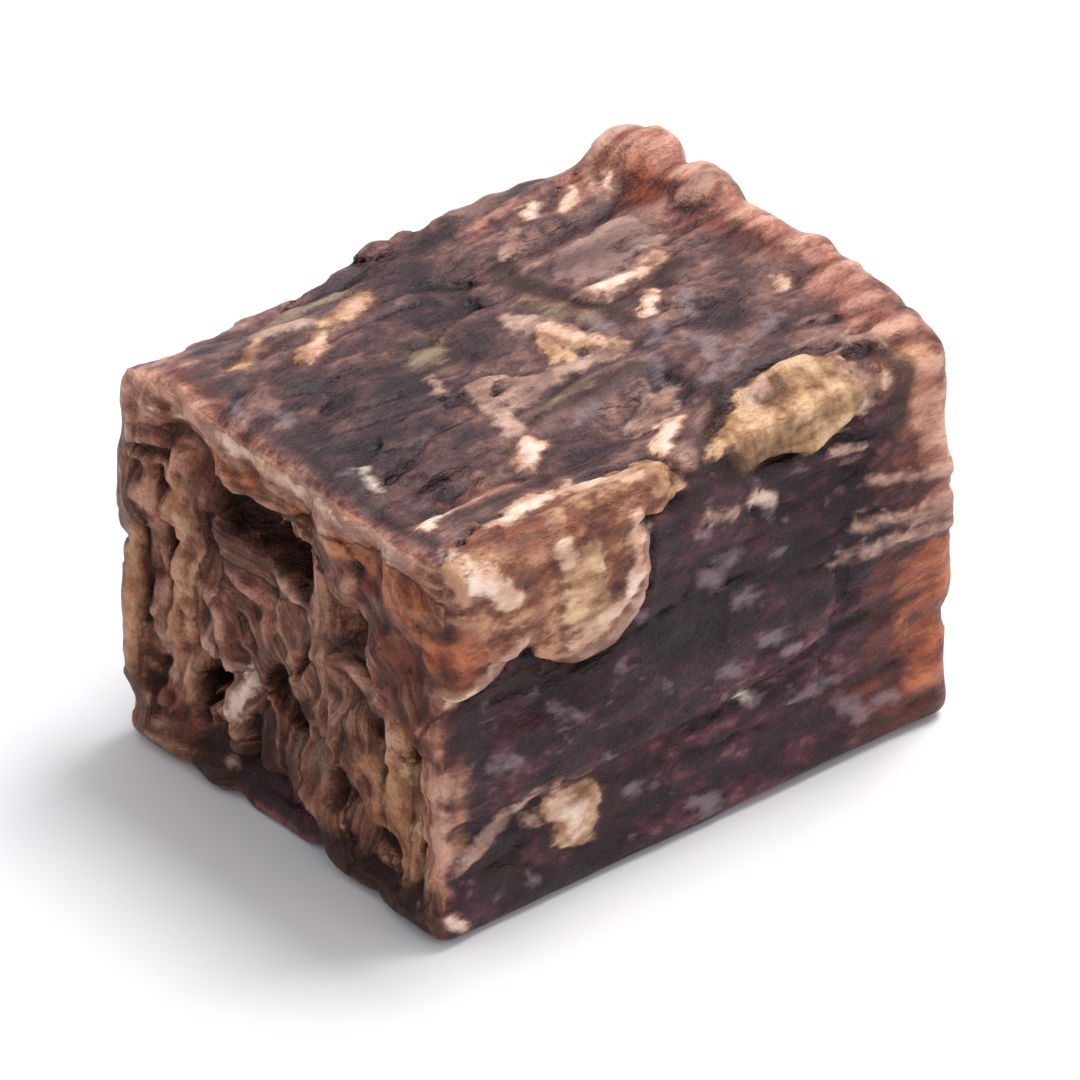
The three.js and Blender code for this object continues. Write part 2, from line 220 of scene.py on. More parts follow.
DRAWN = {
    # Painted white glint on a wet strand
    (NEAR, "painted_white_glint"): [(0.24, (8.6, 8.1), (8.95, 8.9))],
    # The first near cream stroke is part of the same painted glint
    (NEAR, "cream"): [
        (0.3, (8.4, 7.9), (9, 9.2)), (0.27, (9, 0.55), (5.6, 0.45)), (0.1, (11.4, 0.8), (10.8, 1)),
        (0.12, (4.8, 0.45), (3.6, 0.4)),
    ],
    (NEAR, "pale"): [
        (0.33, (9.4, 0.6), (6.8, 0.5), (5, 0.5), (3.6, 0.5), (1.4, 0.25)), (0.12, (11.5, 8.2), (11.3, 9.2)),
        (0.1, (9.8, 7.6), (9.4, 7.9)), (0.16, (0.9, 8.4), (0.7, 9)),
    ],
    (NEAR, "tan"): [(0.3, (2, 7.4), (1.6, 8.8))],
    (NEAR, "olive"): [
        (0.24, (5.9, 8.2), (5.5, 9.4)), (0.2, (6.9, 8.2), (6.5, 9)), (0.15, (2.4, 2.3), (1.9, 2.6)),
    ],
    # Painted glint in the cave
    (NEAR, "painted_lilac_glint"): [(0.14, (8.8, 2.9), (8.2, 2.8))],
    (NEAR, "ochre"): [
        (0.55, (11.1, 2.2), (11, 5.5), (10.9, 9.2)), (0.4, (12.5, 5.4), (12.4, 9)),
        (0.3, (3.5, 7.8), (3.1, 9.2)), (0.8, (2.4, 6.8), (1.9, 9.8)), (0.8, (1.1, 6.6), (0.8, 9)),
        (0.4, (9.4, 1.5), (7.6, 1.5), (5.4, 1.8)), (0.45, (4.8, 1.3), (1.6, 1.3)), (0.7, (0.9, 2), (0.2, 3)),
    ],
    (NEAR, "orange"): [
        (0.35, (1.2, 1.7), (0.2, 2.8)), (0.42, (2.6, 0.9), (0.6, 1)),
        (0.26, (9.2, 1.5), (7.6, 1.6), (6, 1.8)), (0.42, (1.4, 7.4), (1, 8.9)),
        (0.2, (3.8, 1.3), (1.6, 1.5)),
    ],
    (NEAR, "red"): [
        (0.9, (2.8, 2.4), (1.6, 3), (0.4, 3.4)), (0.7, (1.7, 4.7), (0.6, 5.5)),
        (0.35, (9.9, 2.2), (9.6, 4.6)), (0.4, (3.8, 4.4), (2.4, 4.6)), (0.5, (11.9, 9.2), (10.4, 10.4)),
        (0.1, (11.8, 3.8), (11, 3.9)),
    ],
    (NEAR, "pink"): [
        (0.85, (12.3, 0.2), (9.6, 0.4)), (0.5, (12, 1.9), (11.4, 1.5)), (0.3, (9.9, 7.6), (9.3, 7.9)),
        (0.5, (9.6, 0.5), (6.8, 0.45), (4, 0.35), (1, 0.1)), (0.55, (12.2, 1.4), (11, 2.2)),
        (0.08, (10.6, 3.4), (10.8, 6.2), (10.9, 9)), (0.16, (11.7, 3.4), (11.7, 8)),
        (0.28, (4.6, 5.8), (3.6, 5.6), (2.8, 6.1), (2.6, 6.9)), (0.34, (8.8, 5.2), (7.4, 5.9)),
        (0.3, (7, 4.3), (5.8, 4.7)), (0.08, (5, 2.7), (6.2, 4)), (0.2, (3.9, 2.2), (3.2, 3.2)),
        (0.35, (1.2, 7.4), (0.7, 9.2)), (0.24, (9.2, 6.8), (9.6, 6)), (0.16, (5.2, 7), (5.1, 9.6)),
        (0.25, (0, 4.6), (0, 5.6)),
    ],
    # Painted shade in the cave, the hollows and along the bottom edge
    (NEAR, "dark"): [
        (0.65, (8.9, 3), (7.4, 3.3), (5.9, 3.6)), (0.22, (4.9, 1.2), (4.7, 2.6)),
        (0.35, (9.7, 3.8), (9.4, 4.6)), (0.34, (4.4, 4.7), (3, 5.2)), (0.25, (10.2, 9), (10, 9.7)),
        (0.5, (7.1, 7.5), (6.3, 7.6)), (0.36, (4.9, 8.6), (4.7, 9.6)), (0.35, (8.1, 9.2), (7.6, 9.9)),
        (0.85, (9.4, 10.9), (7, 11.1), (4.6, 11.2)), (0.6, (3.8, 11.1), (0.8, 10.9)),
        (0.1, (12.1, 5), (12, 8)), (0.25, (3.5, 6), (3.2, 6.5)),
    ],
    # Painted white glints
    (TOP, "painted_white_glint"): [
        (0.2, (1, 1.9), (1.7, 2.4)), (0.14, (1.1, 4.2), (1.3, 4.7)), (0.2, (4.8, 2.8), (5.2, 3)),
        (0.22, (8.2, 1.2), (8.5, 1.7)), (0.12, (11.5, 5.8), (11.7, 6.1)), (0.1, (11.2, 7.15), (12.2, 7.25)),
        (0.12, (12.1, 11.25), (12.4, 11.4)), (0.16, (2.8, 0.8), (4.2, 1)),
    ],
    (TOP, "cream"): [
        (0.4, (2.4, 0.7), (3.4, 1), (5, 1.1)), (0.4, (5.3, 0.6), (6.3, 0.3)), (0.34, (8, 1.2), (8.7, 1.8)),
        (0.32, (4.6, 2.8), (5.4, 3.1)), (0.26, (0.9, 1.8), (1.5, 2.3)), (0.22, (9, 6.8), (9.8, 5)),
        (0.18, (10.8, 7.1), (12, 7.15), (13.2, 7.5)), (0.24, (11.4, 5.8), (11.9, 6.2)),
        (0.12, (11.9, 11.3), (12.5, 11.5)), (0.14, (13.1, 11), (13.7, 11.3)),
        (0.22, (14.6, 10.9), (14.9, 11.2)), (0.26, (5.2, 10.6), (6.4, 10.9)),
        (0.18, (3.5, 9.8), (4.1, 10.1)), (0.16, (14.6, 4.3), (14.8, 4.6)),
        (0.06, (13.9, 0.9), (14.3, 0.4), (14.3, -0.3)),
    ],
    (TOP, "pale"): [
        (0.3, (8.2, 2.3), (9.5, 2.8)), (0.36, (5.4, 4), (5.9, 5.7)),
        (0.34, (8.5, 7.7), (9.2, 6.4), (9.8, 4.9)), (0.32, (6.4, 4.9), (8.3, 5), (9.5, 4.8)),
        (0.22, (6.2, 6), (7.2, 5.2)), (0.24, (10.6, 7.2), (11.7, 7.2), (13, 7.6), (13.9, 8.3)),
        (0.24, (10.8, 10.4), (11.2, 10.9)), (0.1, (5.2, 6.4), (5.4, 7)), (0.28, (3, 11.2), (4.4, 11)),
        (0.18, (8.8, 2.8), (9.2, 3.2)), (0.2, (15.2, 9), (16.2, 9.2)),
        (0.26, (14.8, 11.9), (15.5, 12.3), (16.1, 12.1)), (0.14, (14.2, 10.7), (14.5, 11.6)),
        (0.2, (14.6, 1.2), (15, 0.6)), (0.14, (10.8, 1.1), (11.6, 1.3)),
        (0.14, (13.8, 1), (14.1, 0.3), (14.1, -0.4)),
    ],
    (TOP, "tan"): [
        (0.34, (4.8, 10.6), (6.5, 11.1)), (0.24, (3.4, 9.9), (4.1, 10.2)), (0.28, (2.1, 10.5), (2.8, 10.9)),
        (0.26, (8.5, 5.5), (8.9, 6.5), (9.3, 5.7)), (0.32, (4.4, 0), (6, 0.1), (7.3, 0.2)),
    ],
    (TOP, "olive"): [
        (0.3, (5.3, 7.8), (6.1, 8), (6.8, 8.4)), (0.24, (6.4, 4.2), (9.2, 4.2)), (0.26, (9.3, 8), (10, 6.6)),
        (0.2, (2.2, 11.6), (6.2, 11.8)),
    ],
    # Painted glints and sheen
    (TOP, "painted_lilac_glint"): [
        (0.22, (10.8, 4.5), (11.2, 4.9)), (0.26, (11.3, 3.3), (11.5, 3.8)), (0.15, (12.2, 4.9), (12.6, 5.3)),
        (0.16, (10.4, 2.4), (12.2, 2.7)), (0.15, (12.8, 2.9), (13.5, 3.3)), (0.16, (0.6, 8.8), (0.9, 9.3)),
        (0.13, (1.1, 7.7), (1.3, 8.2)), (0.15, (7.2, 3.3), (7.8, 3.4)), (0.14, (10, 5.7), (10.2, 6.4)),
        (0.14, (9.6, 3), (10, 3.9)), (0.16, (0.8, 4.8), (1, 4.9)),
    ],
    (TOP, "ochre"): [(0.4, (15, 0.2), (15.6, -0.2)), (0.12, (9.8, 8.2), (10.2, 6.4))],
    (TOP, "orange"): [(0.36, (14.8, 10.3), (15.3, 10.6))],
    (TOP, "red"): [
        (0.36, (14.4, 9.7), (15.2, 9.9)), (0.25, (15, 1.2), (15, 3)), (0.4, (16, 4.4), (15.5, 7.4)),
        (0.4, (0.4, 11.3), (0.7, 9.8)), (0.05, (0.6, 0.5), (2, 0.4)), (0.02, (12.5, 0.6), (13.1, 0.2)),
    ],
    (TOP, "pink"): [
        (0.4, (-0.2, 11.6), (0, 9.4)), (0.15, (-0.3, 9), (-0.3, 0.6)), (0.45, (16.2, 8.2), (16.5, 3.4)),
        (0.85, (14.4, 11.6), (15.4, 12.2), (16.4, 11.6), (16.2, 10.4)), (0.2, (2.2, 2.6), (4, 2.3)),
        (0.6, (15.5, 1.2), (15.6, 3.6)), (0.05, (10.4, 11.6), (13, 11.7)), (0.4, (15.9, 9), (16.2, 10.4)),
    ],
    (TOP, "grey"): [(0.78, (11.6, 8.4), (13.1, 9))],
    # Partly dark stains, partly painted shade in the gaps beside the golden fragment and the lip
    (TOP, "dark"): [
        (0.36, (10.5, 10.2), (9.9, 9.2), (10.5, 6.5)), (0.2, (10.8, 6.6), (13.4, 6.9)),
        (0.16, (6, 3.8), (9.4, 3.7)), (0.2, (5.2, 7.3), (6.7, 7.6)), (0.16, (0.5, 7), (0.5, 0.8)),
        (0.14, (2, 1.7), (4.6, 1.9), (6.4, 1.6)), (0.2, (8.7, 0.2), (9.5, 0.9), (10.3, 1.9)),
        (0.22, (14.9, 0.5), (14.6, -0.4)),
    ],
    (TOP, "plum"): [
        (1.6, (1.4, 3.8), (2, 6), (3.2, 8.2)), (1, (3.6, 4.4), (4.4, 7)),
        (0.9, (6.8, 9.8), (8, 9.3), (7.9, 11.2)), (0.4, (12.4, 3.8), (13.4, 4.8)),
        (0.3, (14, 5.2), (14.4, 6.2)), (0.35, (10.6, 6), (12.6, 6.5)), (0.4, (4.4, 9.2), (5.6, 9.4)),
        (0.6, (5.9, 2.1), (6.8, 2.3)), (0.6, (7, 7), (7.7, 8)), (0.4, (9.8, 3.4), (10.3, 1.8)),
        (0.6, (6.6, 12.2), (10, 12.4)),
    ],
    # Painted white glints
    (FRONT, "painted_white_glint"): [
        (0.16, (0.5, 0.3), (1, 0.9)), (0.16, (5.7, 2.3), (5.4, 2.9)), (0.16, (0.3, 10.8), (0.5, 11)),
        (0.14, (9.7, 8.05), (9.9, 8.2)), (0.12, (3.9, 9.1), (4.2, 9.5)), (0.12, (10.2, 2.3), (10.8, 2.55)),
    ],
    (FRONT, "cream"): [
        (0.4, (0.8, 0.4), (1.3, 1), (1.6, 1.3)), (0.28, (3.3, 0.4), (3.6, 1.1)),
        (0.22, (5.7, 0.6), (5.9, 1.5), (5.8, 2.3), (5.2, 3), (4.4, 3.4), (3.6, 3.5)),
        (0.2, (0.7, 3.8), (0.2, 4.05)), (0.22, (0.3, 10.7), (0.6, 11.1)), (0.42, (3.8, 9), (4.3, 9.6)),
    ],
    # The third and fourth pale strokes are painted glints
    (FRONT, "pale"): [
        (0.3, (6.2, 1.5), (6.2, 2.7), (5.6, 3.6), (4.8, 4), (3.6, 3.8)),
        (0.28, (1.9, 2.8), (1.2, 3.6), (0.2, 4.05)), (0.12, (8.5, 2), (9.4, 2.35)),
        (0.2, (10.1, 2.2), (11, 2.65)), (0.2, (12.7, 5.1), (14.4, 5.2), (16.6, 5.5)),
        (0.13, (13.4, 4.4), (16.4, 4.8)), (0.24, (15.2, 4.9), (16.4, 5.1)), (0.1, (12.8, 1.9), (13.8, 2.1)),
        (0.14, (14, 3.4), (16.6, 3.9)), (0.22, (0.4, 9.4), (1.9, 8.6), (3.3, 7.9)),
        (0.22, (2.5, 8.9), (3, 9.1)), (0.26, (13.6, -0.5), (13.95, 0.2), (13.85, 1)),
        (0.12, (10.8, -0.3), (12.8, -0.1)),
    ],
    (FRONT, "tan"): [
        (0.75, (4, 1.4), (4.1, 2.7)), (0.3, (6.7, 0.1), (7.6, 0.7)),
        (0.42, (3.6, 8.9), (4.5, 9), (4.5, 9.8), (3.8, 9.7)),
    ],
    # Painted glints
    (FRONT, "painted_lilac_glint"): [
        (0.24, (9.6, 8), (10.1, 8.3)), (0.18, (10.2, 6.3), (10.8, 6.6)), (0.14, (8.9, 7), (9.3, 7.2)),
        (0.14, (11, 7), (11.5, 7.2)), (0.14, (8.4, 3.9), (8.8, 4.2)), (0.13, (9.3, 4.9), (9.9, 5.1)),
        (0.24, (8.2, 10.5), (8.8, 10.8)), (0.11, (11.4, 8.9), (12.5, 9.1)), (0.2, (13, 9.9), (13.6, 10.2)),
        (0.14, (14.3, 10.1), (14.7, 10.3)),
    ],
    (FRONT, "ochre"): [(0.4, (15.4, 0.6), (15.2, 1.6)), (0, (0.3, 6.2), (0.4, 8.8))],
    # The first two orange strokes, along the far edge, are partly the meat's colour and partly a painted
    # glow of light through the edge
    (FRONT, "orange"): [
        (0.6, (15.8, 6.2), (15.8, 8.2), (15.8, 9.8)), (0.3, (14.9, 6.3), (14.9, 9)),
        (0.35, (0.2, 2.5), (0.7, 3)),
    ],
    (FRONT, "red"): [
        (0.6, (14.2, 6.2), (14.4, 10.4)), (0.35, (15.1, 1.6), (15.3, 3.2)), (0.5, (13.2, 9.8), (15.6, 11)),
        (0.3, (-0.2, 4.4), (0, 6)), (0.5, (-0.1, 2), (0.3, 3.3)), (0.15, (2.3, 1.2), (2.5, 2.5)),
        (0.26, (1.6, -0.3), (3, -0.1)), (0, (5.15, 0.9), (5.1, 2), (4.75, 2.7)),
    ],
    (FRONT, "pink"): [(0.55, (15.7, 0.9), (15.9, 2.4), (16.2, 4.4)), (0.2, (-0.2, 6.2), (-0.1, 9.2))],
    # Painted shade round the golden fragment and under the lip, and dark marks lower down
    (FRONT, "dark"): [
        (0.28, (9.4, 1.4), (11.2, 1.6), (12.4, 1.6)), (0.3, (14.6, -0.1), (15, 0.6), (14.8, 1.5)),
        (0.25, (8.2, 1.5), (8.7, 0.4)),
        (0.22, (0.7, 4.5), (2.6, 4.4), (3.8, 4.8), (5.2, 4.9), (6.5, 4.1), (6.9, 2.8)),
        (0.14, (3.2, 8.4), (3.2, 10.2)), (0.2, (5.4, 8.6), (5.5, 10.6)), (0.4, (1.4, 9.6), (2.8, 10.8)),
    ],
    (FRONT, "plum"): [(1.3, (7.6, 4.4), (12.4, 5))],
    # Partly a painted glow of light through the edge, like the band on the front
    (FAR, "orange"): [(0.5, (0.4, 6.6), (0.5, 10.4))],
    (FAR, "red"): [(0.7, (11, 0.8), (9.6, 1.2))],
}

# Strands of meat that show in the near cut, and the crevices between them
NEAR_STRANDS = [
    (0.38, (12.6, 0.4), (9.4, 0.8), (7, 0.6), (4, 0.4), (0, 0.1)),
    (0.4, (12.7, 2.7), (12.4, 5), (12.6, 8), (12.4, 10.6)),
    (0.35, (11.6, 2.6), (11.8, 5), (11.7, 7), (11.9, 9.6)),
    (0.42, (10.4, 2.3), (10.4, 4.2), (10.7, 6.2), (10.9, 8.3), (11.2, 9.8)),
    (0.28, (9.9, 5), (10, 7), (10.3, 8.6)), (0.5, (11.4, 10.9), (9.6, 10.4)),
    (0.4, (8.6, 4), (7.2, 4.3), (5.9, 3.9)), (0.42, (9.3, 5.4), (8.3, 5.5), (7.2, 6.5)),
    (0.36, (9.5, 6.4), (9, 7.3), (8.3, 7.7)),
    (0.45, (5.3, 3.4), (4.9, 5), (4.9, 6.4), (5.4, 7.8), (5.6, 9), (5.1, 10.3)),
    (0.36, (7, 5), (6.2, 6.2), (5.9, 6.6)), (0.4, (4.5, 5.4), (3.3, 5.3), (2.5, 5.8), (2.2, 6.9)),
    (0.36, (7.1, 8.3), (6.7, 9.4), (6.2, 9.9)), (0.36, (3.8, 6.9), (3.6, 8.2), (3.3, 9), (3.6, 9.9)),
    (0.34, (2.3, 7), (2.5, 8.6), (2.2, 10.1)), (0.34, (1.6, 6.9), (1.7, 8.4), (1.4, 9.7)),
    (0.4, (0.8, 6.4), (0.9, 8.4), (0.5, 10)), (0.4, (0, 4.8), (0.1, 8), (0, 11)),
    (0.55, (4.4, 2.2), (3.2, 3)), (1.15, (2, 2), (1.2, 3), (0.4, 4)), (0.28, (8.4, 7.9), (9, 9.2)),
    (0.45, (2.6, 11), (0.8, 11)),
]
NEAR_CREVICES = [
    (0.12, (12.2, 2.4), (11.2, 2.5)), (0.1, (11.3, 2.9), (11.4, 4.6), (11.4, 6.6)),
    (0.1, (12.2, 5), (12.25, 6.6), (12.1, 8)), (0.28, (9.8, 3.9), (9.6, 4.8)),
    (0.2, (4.7, 4.9), (3.5, 5.3), (2.5, 5.7), (2, 6.3), (1.9, 7)), (0.16, (10.3, 9), (9.9, 9.8)),
    (0.26, (8.3, 9.2), (7.8, 10.2)), (0.2, (3.7, 6.3), (3.3, 6.9)), (0.18, (3.1, 9.8), (2.1, 10.4)),
    (0.1, (1.3, 7), (1.3, 9.4)), (0.12, (5.6, 5.4), (6.4, 6.6)), (0.42, (9.2, 10.5), (7, 10.8), (5.4, 10.8)),
    (0.32, (3.2, 10.9), (1.2, 10.6)),
]


def scattered(face, count, half_length, half_width):
    """Strokes strewn over a face, lying roughly along its first axis."""
    first, second = face[:2]
    strokes = []
    for _ in range(count):
        a = rng.uniform(LOWS[first] + 1, HIGHS[first] - 1)
        b = rng.uniform(LOWS[second] + 1, HIGHS[second] - 1)
        turn = rng.normal(0.2, 0.5)
        reach = half_length * rng.uniform(0.4, 1.6)
        u, v = reach * math.cos(turn), reach * math.sin(turn)
        strokes.append((face, half_width * rng.uniform(0.6, 1.5), (a - u, b - v), (a + u, b + v)))
    return strokes


def winding_strands(count):
    """Curved strands or crevices all over the far cut."""
    strands = []
    for _ in range(count):
        t = rng.uniform(LOWS[1], HIGHS[1])
        d = rng.uniform(LOWS[2], HIGHS[2])
        heading = 1.3 + 1.2 * math.sin(t / 2.6) + rng.normal(0, 0.35)
        points = [(t, d)]
        for _ in range(3):
            t += 0.9 * math.cos(heading)
            d += 0.9 * math.sin(heading)
            heading += rng.normal(0, 0.45)
            points.append((t, d))
        strands.append((rng.uniform(0.26, 0.5), *points))
    return strands


# All strokes by name, each with its face first: those drawn above, and more strewn over the faces
STROKES = {}
for (face, name), strokes in DRAWN.items():
    STROKES.setdefault(name, []).extend((face, *stroke) for stroke in strokes)
FISSURES = []
# The lilac strokes strewn here and on the front are painted glints
for hidden in (BACK, UNDER):
    STROKES["cream"] += scattered(hidden, 4, 0.4, 0.12)
    STROKES["pale"] += scattered(hidden, 9, 0.9, 0.1)
    STROKES["tan"] += scattered(hidden, 3, 0.7, 0.25)
    STROKES["painted_lilac_glint"] += scattered(hidden, 16, 0.2, 0.1)
    STROKES["plum"] += scattered(hidden, 6, 2.0, 1.2)
    FISSURES += scattered(hidden, 14, 1.6, 0.05)
STROKES["cream"] += scattered(FAR, 2, 0.4, 0.2)
STROKES["pink"] += scattered(FAR, 6, 1.0, 0.3)
STROKES["tan"] += scattered(FAR, 4, 0.6, 0.35)
STROKES["painted_lilac_glint"] += scattered(FRONT, 18, 0.16, 0.07)
FAR_STRANDS = winding_strands(46)
FAR_CREVICES = winding_strands(7)

# How far from its face a stroke shows, on a cut and on a pressed face
CUT_REACH = 1.6
PRESSED_REACH = 0.9

# The golden fragment in the top front edge, a long blunt egg
GOLDEN = {"middle": (11.5, 0.12, 0.12), "half": (2.45, 1.5, 1.5)}
GOLDEN_SLANT = 0.35  # how far the ends move along the grain for each millimetre across
GOLDEN_POWER = 2.6  # 2 is a true egg, and more is blunter

# The folded lip on the front, as in the part's source
LIP_DISCS = [(0.6, 1.8, 2.2), (4.3, 2.4, 2.1)]
LIP_BAND_TO = 7.4
LIP_BAND_DEEP = 1.0


class Points:
    """Points, with their places on the cube, and those places again with the fraying of outlines."""

    def __init__(self, p):
        self.p = p
        self.place = np.stack([p[:, 0] + S_SHIFT, p[:, 1] + T_SHIFT, HEIGHT - p[:, 2]])
        fray = []
        for field in (70, 71, 72):
            fray.append(0.22 * grain(p, 1.6, 0.9, field) + 0.12 * grain(p, 0.7, 0.3, 3 + field))
        self.frayed = self.place + np.stack(fray)
        # Distances from the nearest cut and the nearest pressed face, and a share that is 1 on the
        # cuts, 0 on the pressed faces and a half on the edges between them
        ends = zip(self.place, LOWS, HIGHS)
        self.from_cut, *from_sides = [np.minimum(place - low, high - place) for place, low, high in ends]
        self.from_side = np.minimum(*from_sides)
        self.cut = smooth(self.from_side - self.from_cut, -0.3, 0.3)


def line_distance(u, v, points):
    """Distance from a line through points, how far along it that is, and on which side."""
    least = np.full(u.shape, np.inf)
    along = np.zeros(u.shape)
    side = np.zeros(u.shape)
    run = 0
    for (u0, v0), (u1, v1) in zip(points, points[1:]):
        length = math.hypot(u1 - u0, v1 - v0)
        step_u, step_v = (u1 - u0) / length, (v1 - v0) / length
        reach = np.clip((u - u0) * step_u + (v - v0) * step_v, 0, length)
        off_u, off_v = u - u0 - reach * step_u, v - v0 - reach * step_v
        away = np.hypot(off_u, off_v)
        nearer = away < least
        least = np.where(nearer, away, least)
        along = np.where(nearer, run + reach, along)
        side = np.where(nearer, off_u * step_v - off_v * step_u, side)
        run += length
    return least, along, side


def stroke_depth(here, stroke):
    """How far points lie inside a stroke's frayed outline, in millimetres; below 0 outside it."""
    (first, second, through, level), half_width, *points = stroke
    away = line_distance(here.frayed[first], here.frayed[second], points)[0]
    on_cut = through == NEAR[2]
    reach = CUT_REACH if on_cut else PRESSED_REACH
    off_face = np.maximum(0, np.abs(here.place[through] - level) - reach)
    if on_cut:
        off_face += 0.8 * (1 - here.cut)
    return half_width - away - off_face


def deepest(here, strokes):
    """How far points lie inside any stroke."""
    return np.maximum.reduce([stroke_depth(here, stroke) for stroke in strokes])


def golden_place(*places):
    """Places from the golden fragment's middle, in its half sizes."""
    return [(place - at) / half for place, at, half in zip(places, GOLDEN["middle"], GOLDEN["half"])]


def golden_depth(here):
    """How far points lie inside the golden fragment's outline."""
    s, t, d = here.frayed
    parts = golden_place(s - GOLDEN_SLANT * t, t, d)
    away = sum(np.abs(part) ** GOLDEN_POWER for part in parts) ** (1 / GOLDEN_POWER)
    uneven = 0.14 * grain(here.p, 1.3, 0.9, 73)
    return (1 + uneven - away) * min(GOLDEN["half"])


def lip_depth(here):
    """How far points lie inside the lip's outline."""
    s, t, d = here.frayed
    discs = [radius - np.hypot(s - at, d - down) for at, down, radius in LIP_DISCS]
    band = np.minimum(LIP_BAND_TO - s, LIP_BAND_DEEP - d)
    inside = np.maximum.reduce([*discs, band])
    return np.minimum(inside, s - 2.5 * np.maximum(0, t - 0.1)) - 2 * np.maximum(0, t - 0.9)


# Carving


def pressed_relief(here):
    """Height of the fine relief on the pressed faces, and a number for the bundle of fibres."""
    p = here.p
    x = p[:, 0] / 4.8 + 0.3 * grain(p, 4.0, 1.6, 11)
    y = p[:, 1] / 1.25 + 0.45 * grain(p, 5.0, 2.2, 12)
    z = p[:, 2] / 1.25 + 0.45 * grain(p, 5.0, 2.2, 13)
    gap, own = cells(x, y, z)
    opening = smooth(grain(p, 3.2, 2.0, 6), -0.1, 0.35)
    creases = -(0.02 + 0.13 * opening) * bell(gap, 0.08)
    bundles = 0.04 * smooth(gap, 0, 0.5) + 0.03 * own * smooth(gap, 0, 0.3)
    bends = [0.3 * grain(p, 1.8, 1.2, field) for field in (14, 15, 16)]
    wavy = p + np.stack(bends, axis=1)
    fibres = 0.055 * np.abs(grain(wavy, 1.7, 0.22, 2)) + 0.03 * grain(p, 0.55, 0.25, 8)
    waves = 0.1 * grain(p, 4.2, 1.3, 3)
    layers = 0.08 * smooth(grain(wavy, 2.2, 0.9, 31) + 0.15 * grain(p, 0.6, 0.3, 32), 0.06, 0.13)
    # Lower towards the cuts, and up to twice as high at the back
    share = 0.3 + 0.7 * smooth(here.from_cut, 0.2, 2.4)
    share *= 1 + smooth(here.place[1], 11.8, 12.6)
    return share * (creases + bundles + fibres + layers - 0.06) + waves, own


def nearest_strand(u, v, strands):
    """Of the strands drawn on a cut, the nearest one's number, the distance from its middle as a
    share of its half width, how far along it that is, and on which side."""
    least = np.full(u.shape, np.inf)
    number, along, side = np.zeros((3, *u.shape))
    for index, (half_width, *points) in enumerate(strands):
        away, own_along, own_side = line_distance(u, v, points)
        nearer = away / half_width < least
        least = np.where(nearer, away / half_width, least)
        number = np.where(nearer, index, number)
        along = np.where(nearer, own_along, along)
        side = np.where(nearer, own_side, side)
    return number, least, along, side


def crevice_share(u, v, crevices):
    """1 in the middle of a crevice drawn on a cut, and 0 away from them."""
    return np.maximum.reduce([bell(line_distance(u, v, points)[0], half) for half, *points in crevices])


def cut_relief(here):
    """Height of the fine relief on the cuts, and the strand number, and place along and across it."""
    s, t, d = here.place
    u = t + 0.22 * noise(s / 2, t / 1.8, d / 1.8, 20) + 0.05 * noise(s / 0.6, t / 0.5, d / 0.5, 21)
    v = d + 0.22 * noise(s / 2, t / 1.8, d / 1.8, 22) + 0.05 * noise(s / 0.6, t / 0.5, d / 0.5, 23)
    near = s < (LOWS[0] + HIGHS[0]) / 2
    ends = [(near, NEAR_STRANDS, NEAR_CREVICES), (~near, FAR_STRANDS, FAR_CREVICES)]
    number, least, along, side, crevices = np.zeros((5, *s.shape))
    for part, strands, own_crevices in ends:
        number[part], least[part], along[part], side[part] = nearest_strand(u[part], v[part], strands)
        crevices[part] = crevice_share(u[part], v[part], own_crevices)
    rounded = 0.07 * np.sqrt(np.clip(1 - (least / 1.7) ** 2, 0, 1))
    level = 0.05 * np.sin(number * 2.4) * smooth(least, 1.5, 0.7)
    tilt = 0.16 * np.cos(number * 3.7) * np.clip(side, -0.5, 0.5)
    grooves = 0.1 * np.abs(noise(side / 0.19, along / 1.3, number * 3.7 + 0.3 * s, 25))
    ridges = 0.13 * (0.3 - np.abs(noise(side / 0.24, along / 1.1, number * 2.9 + 0.5 * s, 26)))
    torn = noise(s / 0.9, t / 0.75, d / 0.75, 44) + 0.3 * noise(s / 0.3, t / 0.28, d / 0.28, 42)
    layers = 0.06 * (smooth(torn, -0.22, -0.12) + smooth(torn, 0.16, 0.26) - 1)
    crumbs = 0.07 * noise(s / 0.34, t / 0.3, d / 0.3, 43)
    between = smooth(least, 1.2, 2.2)
    gap, clump = cells(s / 1.1, u / 0.6, v / 0.6)
    clumps = between * (0.05 * clump * smooth(gap, 0, 0.3) - 0.06 * bell(gap, 0.1))
    share = 0.4 + 0.6 * smooth(here.from_side, 0, 1.0)
    height = share * (rounded + level + tilt + grooves + ridges + layers + crumbs + clumps - 0.1)
    return height - 0.4 * crevices, number, along, side


def fragment_relief(here):
    """Fragments stand a little proud, with grooves round them and the lip."""
    depth = np.maximum.reduce([deepest(here, STROKES[name]) for name in ("tan", "cream", "pale", "grey")])
    raised = 0.05 * smooth(depth, -0.08, 0.14)
    groove = -0.05 * bell(depth + 0.15, 0.09) - 0.2 * smooth(deepest(here, FISSURES), -0.2, 0.06)
    golden = golden_depth(here)
    s, t, d = here.place
    folds = noise((s - 1.5 * t + 1.5 * d) / 1.6, (t + d) / 0.5, s / 1.4, 51)
    golden_height = smooth(golden, -0.05, 0.25) * (0.2 + 0.06 * folds + 0.03 * grain(here.p, 1.2, 0.2, 52))
    golden_groove = -0.1 * bell(golden + 0.16, 0.12)
    lip_groove = -0.24 * bell(lip_depth(here) + 0.18, 0.14)
    return raised + groove + golden_height + golden_groove + lip_groove


